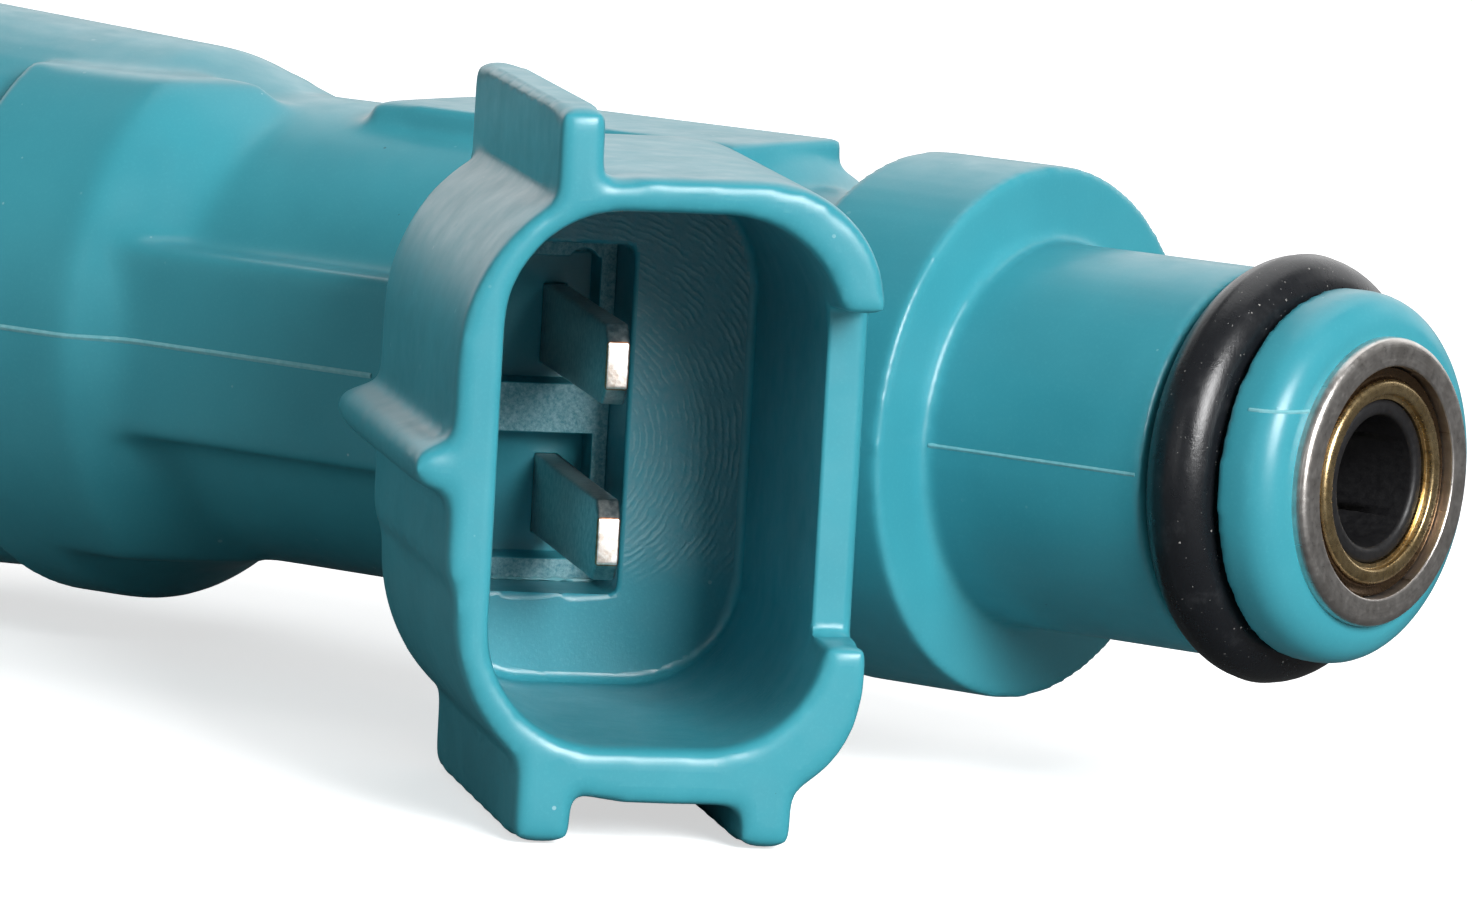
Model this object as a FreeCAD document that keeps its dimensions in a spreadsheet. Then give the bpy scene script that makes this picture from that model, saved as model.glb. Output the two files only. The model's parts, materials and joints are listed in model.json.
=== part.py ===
import FreeCAD, Part
import math
import os
import re
import Sketcher

# Fuel injector, top feed, lying on its side.
# Row frame: the injector's axis is X, the fuel inlet faces +X with its end face at X = 0, the nozzle
# points to -X, the connector leans out towards -Y and forward, and +Z is up.
# "depth" is the distance behind the inlet face, so depth = -X.

DIMENSIONS = {
    # connector: where its centreline lies and how far its mouth stands off
    "lean_angle": 41.3, "mouth_depth": 9.9, "mouth_offset": 19.1,
    "shell_left": 5.35, "shell_right": 5.7, "shell_top": 8.0, "shell_bottom": 8.55, "shell_length": 15.0,
    "corner_round": 3.3, "left_corner_round": 5.0, "rear_round": 2.6, "band_left": 5.62, "band_bottom": 2.8,
    "socket_left": 4.4, "socket_right": 4.6, "socket_half_height": 7.05, "socket_depth": 12.0,
    "socket_round": 3.1, "socket_floor_round": 0.2,
    "recess_left": 3.0, "recess_right": 1.15, "recess_top": 5.0, "recess_bottom": 4.62, "recess_depth": 14.6,
    "pocket_left": 2.6, "pocket_right": 0.7, "pocket_depth": 16.0, "carrier_end": 18.6,
    "upper_pocket_low": 0.86, "upper_pocket_high": 4.38, "lower_pocket_high": 0.52, "lower_pocket_low": 4.0,
    "slot_top": 4.6, "slot_bottom": 4.2, "slot_depth": 2.2,
    "vane_left": 3.2, "vane_right": 2.0, "vane_top": 9.75, "rib_length": 14.2,
    "side_rib_out": 6.65, "side_rib_low": 0.45, "side_rib_high": 0.8, "side_rib_round": 0.55,
    "foot_tip": 9.65, "foot_length": 13.4,
    "left_foot_outer": 3.45, "left_foot_inner": 1.95, "right_foot_inner": 2.6, "right_foot_outer": 3.95,
    "neck_left": 3.4, "neck_right": 5.5, "neck_half_height": 5.2, "neck_end": 20.0,
    # how far joined blocks run into one another and cutting tools stand clear; how deep the feet are rooted
    "overlap": 1.0, "foot_root": 2.0,
    # terminals
    "blade_centre": 0.3, "blade_thickness": 0.64, "blade_width": 2.2, "blade_pitch": 4.74,
    "blade_tip": 5.9, "blade_end": 21.6, "tip_bevel": 0.5,
    "lead_start": 25.8, "lead_end": 43.7, "lead_offset": 5.3, "lead_low": 1.3, "lead_high": 2.7,
    # moulded body
    "lip_front": 0.4, "lip_back": 2.1, "lip_radius": 5.1, "lip_round": 0.95,
    "groove_radius": 3.88, "groove_back": 4.4,
    "neck_radius": 5.35, "flange_front": 11.7, "flange_back": 16.2, "flange_radius": 7.43,
    "clip_groove_radius": 6.0, "clip_groove_back": 19.9,
    "mid_radius": 6.85, "collar_front": 40.2, "collar_crest": 42.9, "collar_back": 45.6,
    "collar_radius": 8.6, "collar_top": 7.3, "collar_top_round": 5.2, "collar_low_round": 2.6,
    "cheek_front": 37.5, "cheek_crest": 40.2, "cheek_inner": 2.0, "cheek_low": 6.8, "cheek_high": 7.3,
    "shoulder_start": 39.0, "shoulder_depth": 42.6, "rear_radius": 7.9, "rear_end_radius": 8.5,
    "housing_end": 54.0,
    "pad_half_width": 2.5, "pad_top": 7.2, "pad_front": 20.9, "pad_back": 34.5,
    "face_pad_out": 7.6, "face_pad_low": 2.8, "face_pad_high": 2.8,
    # inlet
    "tube_collar_radius": 3.95, "tube_collar_end": 1.4, "tube_radius": 3.35, "tube_cone_end": 2.0,
    "tube_bore": 2.55, "tube_end": 24.0, "tube_edge": 0.15,
    "filter_seat_radius": 3.12, "filter_seat_depth": 1.3, "seat_edge": 0.15,
    "inlet_ring_middle": 3.3, "inlet_ring_major": 4.89, "inlet_ring_section": 1.0,
    "brass_front": 0.12, "brass_bore": 2.38, "brass_edge": 0.2, "brass_sleeve_end": 4.0,
    "basket_front": 0.35, "basket_radius": 2.25, "basket_bore": 1.8, "basket_end": 9.6,
    "basket_floor": 0.7, "window_start": 4.3, "window_end": 8.5, "window_width": 2.0,
    "mesh_wall": 0.1, "mesh_start": 3.9, "mesh_end": 8.9,
    # magnet circuit
    "core_start": 22.0, "core_end": 47.0, "core_bore": 1.6,
    "adjuster_start": 31.0, "adjuster_end": 41.0, "adjuster_bore": 0.9,
    "yoke_start": 41.9, "yoke_end": 57.5, "yoke_bore": 6.5, "yoke_radius": 7.3, "plate_end": 42.9,
    "notch_inner": 4.4, "notch_half_height": 3.2,
    "bobbin_start": 43.0, "bobbin_end": 51.6, "bobbin_bore": 4.0, "bobbin_barrel": 4.6,
    "bobbin_flange": 6.4, "bobbin_cheek": 0.9, "winding_radius": 6.1,
    "sleeve_start": 44.9, "sleeve_end": 52.55, "sleeve_radius": 3.95, "armature_bore": 3.42,
    "coil_seal_middle": 44.0, "coil_seal_major": 3.675, "coil_seal_section": 0.3,
    "foot_seal_middle": 52.08, "foot_seal_major": 4.42, "foot_seal_section": 0.43,
    # moving group
    "armature_gap": 0.1, "armature_radius": 3.34, "armature_end": 52.4, "spring_seat": 50.0,
    "armature_spring_bore": 1.5, "needle_radius": 1.0, "needle_bore": 0.55, "needle_end": 63.5,
    "ball_radius": 1.5, "ball_middle": 64.6, "cross_hole_radius": 0.3, "cross_hole_depth": 61.5,
    "spring_start": 41.0, "spring_radius": 1.22, "spring_wire": 0.2, "spring_turns": 8,
    # valve and nozzle
    "stop_start": 52.6, "stop_end": 53.0, "stop_bore": 3.46, "valve_flange_radius": 6.45,
    "valve_body_radius": 3.9, "valve_body_end": 67.0, "valve_bore": 2.3, "armature_room_end": 55.5,
    "seat_pocket_start": 63.5, "seat_pocket_radius": 2.6,
    "guide_end": 65.1, "guide_clearance": 0.03, "fuel_slot_width": 0.9, "guide_rim": 0.35,
    "seat_start": 65.2, "seat_end": 66.55, "seat_cone": 66.75, "seat_hole": 0.55,
    "orifice_end": 66.75, "orifice_radius": 0.14, "orifice_circle": 0.33,
    "backup_end": 58.7, "backup_radius": 6.6, "lower_ring_section": 1.35,
    "cap_start": 61.6, "cap_wall_start": 67.05, "cap_end": 68.4, "cap_radius": 5.0, "cap_hole": 2.2,
    "cap_front_bevel": 0.3, "cap_end_bevel": 0.8, "cap_hole_bevel": 0.5,
}

TURN_ABOUT_Z = FreeCAD.Placement(FreeCAD.Vector(), FreeCAD.Rotation(180, 0, 0))
TOLERANCE = 1e-3

# Where a sketch's corners stand before its constraints place them: on a circle in the positive quarter.
SEED_CENTRE, SEED_RADIUS = 9, 5


def make_sheet(doc):
    sheet = doc.addObject("Spreadsheet::Sheet", "Dims")
    for row, (alias, value) in enumerate(DIMENSIONS.items(), start=1):
        sheet.set(f"A{row}", alias)
        sheet.set(f"B{row}", str(value))
        sheet.setAlias(f"B{row}", alias)
    doc.recompute()
    return sheet


def linked(expression):
    """The expression with each dimension's name pointing at its cell."""
    return re.sub(r"[a-z]\w+", r"Dims.\g<0>", str(expression))


def connector_placement(sheet):
    """Local X runs across the connector, Y is up and Z points out of its mouth, whose centre is 0."""
    mouth = FreeCAD.Vector(-sheet.mouth_depth, -sheet.mouth_offset, 0)
    return FreeCAD.Placement(mouth, FreeCAD.Rotation(90 - sheet.lean_angle, 0, 90))


def origin_feature(body, role):
    return next(f for f in body.Origin.OriginFeatures if f.Role == role)


def new_body(doc, label, placement):
    body = doc.addObject("PartDesign::Body", label)
    body.Placement = placement
    return body


def polygon_sketch(body, name, outline):
    """A closed outline on the XY plane; each corner is a pair of expressions (x, y)."""
    sketch = body.newObject("Sketcher::SketchObject", name)
    sketch.AttachmentSupport = (origin_feature(body, "XY_Plane"), [""])
    sketch.MapMode = "FlatFace"
    count = len(outline)
    turn = 2 * math.pi / count
    corners = [FreeCAD.Vector(SEED_CENTRE - SEED_RADIUS * math.cos(i * turn),
                              SEED_CENTRE + SEED_RADIUS * math.sin(i * turn), 0) for i in range(count)]
    for i in range(count):
        sketch.addGeometry(Part.LineSegment(corners[i], corners[(i + 1) % count]))
    for i in range(count):
        sketch.addConstraint(Sketcher.Constraint("Coincident", i, 2, (i + 1) % count, 1))
    for i, corner in enumerate(outline):
        for kind, axis, value, start in zip(("DistanceX", "DistanceY"), (-2, -1), corner, corners[i]):
            if value == "0":
                sketch.addConstraint(Sketcher.Constraint("PointOnObject", i, 1, axis))
                continue
            at = sketch.addConstraint(Sketcher.Constraint(kind, -1, 1, i, 1, start))
            sketch.setExpression(f"Constraints[{at}]", linked(value))
    return sketch


def add_turned(body, name, outline):
    """Turns an outline of (depth, radius) corners about the injector's axis."""
    sketch = polygon_sketch(body, name + "_outline", outline)
    turned_feature = body.newObject("PartDesign::Revolution", name)
    turned_feature.Profile = sketch
    turned_feature.ReferenceAxis = (origin_feature(body, "X_Axis"), [""])
    turned_feature.Angle = 360
    return turned_feature


def turned(doc, label, outline):
    body = new_body(doc, label, TURN_ABOUT_Z)
    add_turned(body, label + "_turned", outline)
    return body


def ring_outline(start, end, inner, outer):
    return [(start, inner), (start, outer), (end, outer), (end, inner)]


def add_block(body, name, low, high, kind="Additive"):
    """A box between two corners, each given as three expressions."""
    block = body.newObject(f"PartDesign::{kind}Box", name)
    block.MapMode = "Deactivated"
    for size, axis, start, end in zip(("Length", "Width", "Height"), "xyz", low, high):
        block.setExpression(size, linked(f"({end}) - ({start})"))
        block.setExpression(f"Placement.Base.{axis}", linked(start))
    return block


def round_edges(doc, body, name, radius, wanted, kind="Fillet"):
    """Rounds or bevels the edges of the body's newest feature that wanted(edge) accepts."""
    doc.recompute()
    base = body.Tip
    names = [f"Edge{i}" for i, edge in enumerate(base.Shape.Edges, start=1) if wanted(edge)]
    if not names:
        raise RuntimeError(f"no edge found for {name}")
    rounding = body.newObject(f"PartDesign::{kind}", name)
    rounding.Base = (base, names)
    rounding.setExpression("Radius" if kind == "Fillet" else "Size", linked(radius))
    return rounding


def circle_at(depth, radius):
    """Accepts the circular edge at that depth along local X with that radius."""
    def wanted(edge):
        box = edge.BoundBox
        flat = box.XLength < TOLERANCE and abs(box.XMin - depth) < TOLERANCE
        return flat and abs(box.YMax - radius) < TOLERANCE
    return wanted


def boolean(doc, kind, label, first, others):
    made = doc.addObject(f"Part::{'MultiFuse' if kind == 'fuse' else 'Cut'}", label)
    if kind == "fuse":
        made.Shapes = [first, *others]
        return made
    made.Base = first
    single = len(others) == 1
    made.Tool = others[0] if single else boolean(doc, "fuse", label + "_tools", others[0], others[1:])
    return made


def cylinder_tool(doc, name, radius, length, base, direction):
    """A cylinder for drilling: base is three expressions for the middle of its first end."""
    tool = doc.addObject("Part::Cylinder", name)
    tool.setExpression("Radius", linked(radius))
    tool.setExpression("Height", linked(length))
    tool.Placement.Rotation = FreeCAD.Rotation(FreeCAD.Vector(0, 0, 1), direction)
    for axis, value in zip("xyz", base):
        tool.setExpression(f"Placement.Base.{axis}", linked(value))
    return tool


# ---- inlet -------------------------------------------------------------------------------------

def make_inlet_tube(doc):
    return turned(doc, "inlet_tube", [
        ("0", "filter_seat_radius + seat_edge"), ("0", "tube_collar_radius - tube_edge"),
        ("tube_edge", "tube_collar_radius"), ("tube_collar_end", "tube_collar_radius"),
        ("tube_cone_end", "tube_radius"), ("tube_end", "tube_radius"), ("tube_end", "tube_bore"),
        ("filter_seat_depth", "tube_bore"), ("filter_seat_depth", "filter_seat_radius"),
        ("seat_edge", "filter_seat_radius")])


def make_filter_ring(doc):
    """The pressed brass ring: a flange in the tube's mouth and a sleeve down its bore."""
    return turned(doc, "filter_ring", [
        ("brass_front", "brass_bore + brass_edge"), ("brass_front", "filter_seat_radius - brass_edge"),
        ("brass_front + brass_edge", "filter_seat_radius"), ("filter_seat_depth", "filter_seat_radius"),
        ("filter_seat_depth", "tube_bore"), ("brass_sleeve_end", "tube_bore"),
        ("brass_sleeve_end", "basket_radius"), ("basket_front", "basket_radius"),
        ("basket_front", "brass_bore"), ("brass_front + brass_edge", "brass_bore")])


def make_filter_basket(doc):
    """The moulded cage that holds the filter cloth: a cup with two pairs of windows."""
    cup = turned(doc, "filter_cup", [
        ("basket_front", "basket_bore"), ("basket_front", "basket_radius"), ("basket_end", "basket_radius"),
        ("basket_end", "0"), ("basket_end - basket_floor", "0"),
        ("basket_end - basket_floor", "basket_bore")])
    windows = new_body(doc, "filter_windows", TURN_ABOUT_Z)
    half, reach = "window_width / 2", "basket_radius + overlap"
    add_block(windows, "window_pair_y", ("window_start", f"-({reach})", f"-({half})"),
              ("window_end", reach, half))
    add_block(windows, "window_pair_z", ("window_start", f"-({half})", f"-({reach})"),
              ("window_end", half, reach))
    return boolean(doc, "cut", "filter_basket", cup, [windows])


def make_filter_mesh(doc):
    return turned(doc, "filter_mesh",
                  ring_outline("mesh_start", "mesh_end", "basket_bore - mesh_wall", "basket_bore"))


def make_torus(doc, label, middle, major, section):
    """A rubber ring round the injector's axis."""
    ring = doc.addObject("Part::Torus", label)
    ring.setExpression("Radius1", linked(major))
    ring.setExpression("Radius2", linked(section))
    ring.Placement.Rotation = FreeCAD.Rotation(FreeCAD.Vector(0, 0, 1), FreeCAD.Vector(1, 0, 0))
    ring.setExpression("Placement.Base.x", linked(f"-({middle})"))
    return ring


# ---- magnet circuit ----------------------------------------------------------------------------

def make_fixed_core(doc):
    """The iron tube that the coil magnetises; its thin front end sits in the inlet tube."""
    return turned(doc, "fixed_core", [
        ("core_start", "core_bore"), ("core_start", "tube_bore"), ("tube_end", "tube_bore"),
        ("tube_end", "tube_radius"), ("core_end", "tube_radius"), ("core_end", "core_bore")])


def make_coil_bobbin(doc, terminals):
    former = turned(doc, "bobbin_former", [
        ("bobbin_start", "bobbin_bore"), ("bobbin_start", "bobbin_flange"),
        ("bobbin_start + bobbin_cheek", "bobbin_flange"), ("bobbin_start + bobbin_cheek", "bobbin_barrel"),
        ("bobbin_end - bobbin_cheek", "bobbin_barrel"), ("bobbin_end - bobbin_cheek", "bobbin_flange"),
        ("bobbin_end", "bobbin_flange"), ("bobbin_end", "bobbin_bore")])
    return boolean(doc, "cut", "coil_bobbin", former, terminals)


def make_yoke_plate(doc):
    """The iron washer over the coil, notched where the terminals pass through it."""
    washer = turned(doc, "plate_washer", ring_outline("yoke_start", "plate_end", "tube_radius", "yoke_bore"))
    notch = new_body(doc, "plate_notch", TURN_ABOUT_Z)
    add_block(notch, "notch", ("yoke_start - overlap", "notch_inner", "-notch_half_height"),
              ("plate_end + overlap", "yoke_bore + overlap", "notch_half_height"))
    return boolean(doc, "cut", "yoke_plate", washer, [notch])


# ---- moving group ------------------------------------------------------------------------------

def make_armature(doc):
    """The iron plunger: its front face waits just behind the core."""
    front = "core_end + armature_gap"
    return turned(doc, "armature", [
        (front, "armature_spring_bore"), (front, "armature_radius"), ("armature_end", "armature_radius"),
        ("armature_end", "needle_radius"), ("spring_seat", "needle_radius"),
        ("spring_seat", "armature_spring_bore")])


def make_valve_ball(doc):
    ball = doc.addObject("Part::Sphere", "valve_ball")
    ball.setExpression("Radius", linked("ball_radius"))
    ball.setExpression("Placement.Base.x", linked("-ball_middle"))
    return ball


def make_needle(doc, ball):
    """The hollow stem between the armature and the ball, with cross holes for the fuel."""
    stem = turned(doc, "needle_stem",
                  ring_outline("spring_seat", "needle_end", "needle_bore", "needle_radius"))
    length = "4 * needle_radius"
    holes = [
        cylinder_tool(doc, "needle_hole_y", "cross_hole_radius", length,
                      ("-cross_hole_depth", "-2 * needle_radius", "0"), FreeCAD.Vector(0, 1, 0)),
        cylinder_tool(doc, "needle_hole_z", "cross_hole_radius", length,
                      ("-cross_hole_depth", "0", "-2 * needle_radius"), FreeCAD.Vector(0, 0, 1))]
    return boolean(doc, "cut", "needle", stem, [ball, *holes])


def make_return_spring(doc, sheet):
    """A round-wire coil between the adjuster and the armature's seat, swept along a helix."""
    wire_radius = sheet.spring_wire
    length = sheet.spring_seat - sheet.spring_start - 2 * wire_radius
    helix = Part.makeHelix(length / sheet.spring_turns, length, sheet.spring_radius)
    section = Part.makeCircle(wire_radius, FreeCAD.Vector(sheet.spring_radius, 0, 0), FreeCAD.Vector(0, 1, 0))
    spring = doc.addObject("Part::Feature", "return_spring")
    spring.Shape = Part.Wire(helix.Edges).makePipeShell([Part.Wire([section])], True, True)
    start = FreeCAD.Vector(-(sheet.spring_start + wire_radius), 0, 0)
    backwards = FreeCAD.Rotation(FreeCAD.Vector(0, 0, 1), FreeCAD.Vector(-1, 0, 0))
    spring.Placement = FreeCAD.Placement(start, backwards)
    return spring


# ---- valve and nozzle --------------------------------------------------------------------------

def make_valve_body(doc):
    return turned(doc, "valve_body", [
        ("stop_end", "armature_bore"), ("stop_end", "valve_flange_radius"),
        ("yoke_end", "valve_flange_radius"), ("yoke_end", "valve_body_radius"),
        ("valve_body_end", "valve_body_radius"), ("valve_body_end", "valve_bore"),
        ("orifice_end", "valve_bore"), ("orifice_end", "seat_pocket_radius"),
        ("seat_pocket_start", "seat_pocket_radius"), ("seat_pocket_start", "valve_bore"),
        ("armature_room_end", "valve_bore"), ("armature_room_end", "armature_bore")])


def make_needle_guide(doc):
    """The ring that keeps the ball in line, with slots that let the fuel past."""
    ring = turned(doc, "guide_ring", ring_outline("seat_pocket_start", "guide_end",
                                                  "ball_radius + guide_clearance", "seat_pocket_radius"))
    slots = new_body(doc, "guide_slots", TURN_ABOUT_Z)
    half, reach = "fuel_slot_width / 2", "seat_pocket_radius - guide_rim"
    ends = ("seat_pocket_start - overlap", "guide_end + overlap")
    add_block(slots, "slot_pair_y", (ends[0], f"-({reach})", f"-({half})"), (ends[1], reach, half))
    add_block(slots, "slot_pair_z", (ends[0], f"-({half})", f"-({reach})"), (ends[1], half, reach))
    return boolean(doc, "cut", "needle_guide", ring, [slots])


def make_valve_seat(doc):
    """A disc with a 45 degree cone; depth plus radius is seat_cone all along the cone."""
    return turned(doc, "valve_seat", [
        ("seat_start", "seat_cone - seat_start"), ("seat_start", "seat_pocket_radius"),
        ("seat_end", "seat_pocket_radius"), ("seat_end", "seat_hole"),
        ("seat_cone - seat_hole", "seat_hole")])


def make_orifice_plate(doc):
    disc = turned(doc, "orifice_disc", [
        ("seat_end", "0"), ("seat_end", "seat_pocket_radius"), ("orifice_end", "seat_pocket_radius"),
        ("orifice_end", "0")])
    places = [("orifice_circle", "orifice_circle"), ("-orifice_circle", "orifice_circle"),
              ("-orifice_circle", "-orifice_circle"), ("orifice_circle", "-orifice_circle")]
    holes = [cylinder_tool(doc, f"orifice_hole_{i}", "orifice_radius", "2 * overlap",
                           ("-(orifice_end + overlap)", y, z), FreeCAD.Vector(1, 0, 0))
             for i, (y, z) in enumerate(places, start=1)]
    return boolean(doc, "cut", "orifice_plate", disc, holes)


def make_nozzle_cap(doc):
    return turned(doc, "nozzle_cap", [
        ("cap_start", "valve_body_radius"), ("cap_start", "cap_radius - cap_front_bevel"),
        ("cap_start + cap_front_bevel", "cap_radius"), ("cap_end - cap_end_bevel", "cap_radius"),
        ("cap_end", "cap_radius - cap_end_bevel"), ("cap_end", "cap_hole + cap_hole_bevel"),
        ("cap_wall_start", "cap_hole"), ("cap_wall_start", "valve_body_radius")])


# ---- connector ---------------------------------------------------------------------------------

def make_terminal(doc, label, side, placement):
    """A flat blade in the socket that turns into a lead running back to the coil."""
    middle = f"{side} * blade_pitch / 2"
    blade = new_body(doc, label + "_blade", placement)
    half = "blade_thickness / 2"
    add_block(blade, label + "_strip",
              (f"-blade_centre - {half}", f"{middle} - blade_width / 2", "-blade_end"),
              (f"-blade_centre + {half}", f"{middle} + blade_width / 2", "-blade_tip"))

    def is_tip_edge(edge):
        box = edge.BoundBox
        at_tip = box.ZMin > -DIMENSIONS["blade_tip"] - TOLERANCE
        return at_tip and box.XLength > DIMENSIONS["blade_thickness"] - TOLERANCE
    round_edges(doc, blade, label + "_tip", "tip_bevel", is_tip_edge, "Chamfer")
    lead = new_body(doc, label + "_lead", TURN_ABOUT_Z)
    low, high = ("lead_low", "lead_high") if side > 0 else ("-lead_high", "-lead_low")
    add_block(lead, label + "_run", ("lead_start", f"lead_offset - {half}", low),
              ("lead_end", f"lead_offset + {half}", high))
    return boolean(doc, "fuse", label, blade, [lead])


def make_carrier(doc, terminals, placement):
    """The insert at the bottom of the socket's recess; each blade stands in a pocket of its own."""
    block = new_body(doc, "carrier_block", placement)
    add_block(block, "carrier_base", ("-recess_left", "-recess_bottom", "-carrier_end"),
              ("recess_right", "recess_top", "-recess_depth"))
    for name, low, high in (("upper_pocket", "upper_pocket_low", "upper_pocket_high"),
                            ("lower_pocket", "-lower_pocket_low", "-lower_pocket_high")):
        add_block(block, name, ("-pocket_left", low, "-pocket_depth"),
                  ("pocket_right", high, "overlap - recess_depth"), "Subtractive")
    return boolean(doc, "cut", "terminal_carrier", block, terminals)


def make_left_band(doc, placement):
    """The upper left of the shroud's wall, which stands out a little further than the rest."""
    band = new_body(doc, "left_band", placement)
    add_block(band, "band_block", ("-band_left", "-band_bottom", "-shell_length"), ("0", "shell_top", "0"))

    def is_outer_top(edge):
        box = edge.BoundBox
        return box.XMax < -DIMENSIONS["band_left"] / 2 and box.YMin > DIMENSIONS["shell_top"] / 2

    def is_outer_rear(edge):
        box = edge.BoundBox
        at_rear = box.ZMax < TOLERANCE - DIMENSIONS["shell_length"]
        return at_rear and box.XMin < -DIMENSIONS["band_left"] / 2 and box.YMax > 0
    round_edges(doc, band, "band_corner", "left_corner_round", is_outer_top)
    round_edges(doc, band, "band_rear", "rear_round", is_outer_rear)
    return band


def make_shell(doc, placement):
    """The connector's shroud with its keying ribs, before the socket is cut."""
    shell = new_body(doc, "connector_shell", placement)
    add_block(shell, "shell_block", ("-shell_left", "-shell_bottom", "-shell_length"),
              ("shell_right", "shell_top", "0"))

    def runs_along(edge):
        return edge.BoundBox.ZLength > DIMENSIONS["shell_length"] / 2

    def is_rib_outer(edge):
        return runs_along(edge) and edge.BoundBox.XMax < TOLERANCE - DIMENSIONS["side_rib_out"]
    round_edges(doc, shell, "left_corners", "left_corner_round",
                lambda edge: runs_along(edge) and edge.BoundBox.XMax < 0)
    round_edges(doc, shell, "right_corners", "corner_round",
                lambda edge: runs_along(edge) and edge.BoundBox.XMin > 0)
    round_edges(doc, shell, "rear_rim", "rear_round",
                lambda edge: edge.BoundBox.ZMax < TOLERANCE - DIMENSIONS["shell_length"])
    add_block(shell, "top_vane", ("-vane_left", "shell_top - overlap", "-rib_length"),
              ("-vane_right", "vane_top", "0"))
    add_block(shell, "side_rib", ("-side_rib_out", "-side_rib_low", "-rib_length"),
              ("-shell_left + overlap", "side_rib_high", "0"))
    round_edges(doc, shell, "side_rib_edges", "side_rib_round", is_rib_outer)
    add_block(shell, "left_foot", ("-left_foot_outer", "-foot_tip", "-foot_length"),
              ("-left_foot_inner", "-shell_bottom + foot_root", "0"))
    add_block(shell, "right_foot", ("right_foot_inner", "-foot_tip", "-foot_length"),
              ("right_foot_outer", "-shell_bottom + foot_root", "0"))
    add_block(shell, "connector_neck", ("-neck_left", "-neck_half_height", "-neck_end"),
              ("neck_right", "neck_half_height", "overlap - shell_length"))
    return shell


def make_socket_tools(doc, placement):
    """What is cut out for the plug: the socket, the recess that takes the carrier and the latch slot."""
    socket = new_body(doc, "socket_core", placement)
    add_block(socket, "socket_block", ("-socket_left", "-socket_half_height", "-socket_depth"),
              ("socket_right", "socket_half_height", "overlap"))
    round_edges(doc, socket, "socket_corners", "socket_round",
                lambda edge: edge.BoundBox.ZLength > DIMENSIONS["socket_depth"])
    round_edges(doc, socket, "socket_floor", "socket_floor_round",
                lambda edge: edge.BoundBox.ZMax < TOLERANCE - DIMENSIONS["socket_depth"])
    recess = new_body(doc, "recess_core", placement)
    add_block(recess, "recess_block", ("-recess_left", "-recess_bottom", "-carrier_end"),
              ("recess_right", "recess_top", "-socket_depth + overlap"))
    slot = new_body(doc, "latch_slot", placement)
    add_block(slot, "slot_block", ("socket_right - overlap", "-slot_bottom", "-slot_depth"),
              ("shell_right + overlap", "slot_top", "overlap"))
    return [socket, recess, slot]


# ---- moulded housing ---------------------------------------------------------------------------

def make_drum(doc, label, front, crest):
    """A drum with a cone in front that grows out of the barrel."""
    return turned(doc, label, [(front, "0"), (front, "mid_radius"), (crest, "collar_radius"),
                               ("collar_back", "collar_radius"), ("collar_back", "0")])


def make_cheek(doc):
    """The front of the collar on the connector's side, where the leads run in to the coil."""
    room = new_body(doc, "cheek_room", TURN_ABOUT_Z)
    add_block(room, "cheek_block", ("cheek_front", "cheek_inner", "-cheek_low"),
              ("collar_back", "collar_radius + overlap", "cheek_high"))
    cheek = doc.addObject("Part::MultiCommon", "cheek")
    cheek.Shapes = [make_drum(doc, "cheek_drum", "cheek_front", "cheek_crest"), room]
    return cheek


def make_collar(doc):
    """The wide band over the coil: a cone in front, flat on top and well rounded in side view."""
    drum = make_drum(doc, "collar_drum", "collar_front", "collar_crest")
    outline = new_body(doc, "collar_outline", TURN_ABOUT_Z)
    add_block(outline, "collar_block", ("collar_front", "-collar_radius - overlap", "-collar_radius"),
              ("collar_back", "collar_radius + overlap", "collar_top"))

    def front_corner(high):
        def wanted(edge):
            box = edge.BoundBox
            across = box.YLength > DIMENSIONS["collar_radius"]
            in_front = abs(box.XMin - DIMENSIONS["collar_front"]) < TOLERANCE
            return across and in_front and (box.ZMin > 0) == high
        return wanted
    round_edges(doc, outline, "collar_front_top", "collar_top_round", front_corner(True))
    round_edges(doc, outline, "collar_front_low", "collar_low_round", front_corner(False))
    collar = doc.addObject("Part::MultiCommon", "collar")
    collar.Shapes = [drum, outline]
    return collar


def make_barrel(doc):
    """The turned body with the flat pads on its top and on the connector's side."""
    barrel = new_body(doc, "barrel", TURN_ABOUT_Z)
    add_turned(barrel, "stepped_body", [
        ("lip_front", "0"), ("lip_front", "lip_radius"), ("lip_back", "lip_radius"),
        ("lip_back", "groove_radius"), ("groove_back", "groove_radius"), ("groove_back", "neck_radius"),
        ("flange_front", "neck_radius"), ("flange_front", "flange_radius"), ("flange_back", "flange_radius"),
        ("flange_back", "clip_groove_radius"), ("clip_groove_back", "clip_groove_radius"),
        ("pad_front", "mid_radius"), ("shoulder_start", "mid_radius"), ("shoulder_depth", "rear_radius"),
        ("housing_end", "rear_end_radius"), ("housing_end", "0")])
    round_edges(doc, barrel, "lip_edge", "lip_round",
                circle_at(DIMENSIONS["lip_front"], DIMENSIONS["lip_radius"]))
    add_block(barrel, "top_pad", ("pad_front", "-pad_half_width", "0"),
              ("pad_back", "pad_half_width", "pad_top"))
    add_block(barrel, "face_pad", ("pad_front", "0", "-face_pad_low"),
              ("cheek_front + 2 * overlap", "face_pad_out", "face_pad_high"))
    return barrel


def make_barrel_void(doc):
    """The space inside the moulding for the tube, the core and the magnet's yoke."""
    return turned(doc, "barrel_void", [
        ("-overlap", "0"), ("-overlap", "tube_collar_radius"), ("tube_collar_end", "tube_collar_radius"),
        ("tube_cone_end", "tube_radius"), ("yoke_start", "tube_radius"), ("yoke_start", "yoke_radius"),
        ("housing_end + overlap", "yoke_radius"), ("housing_end + overlap", "0")])


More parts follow.
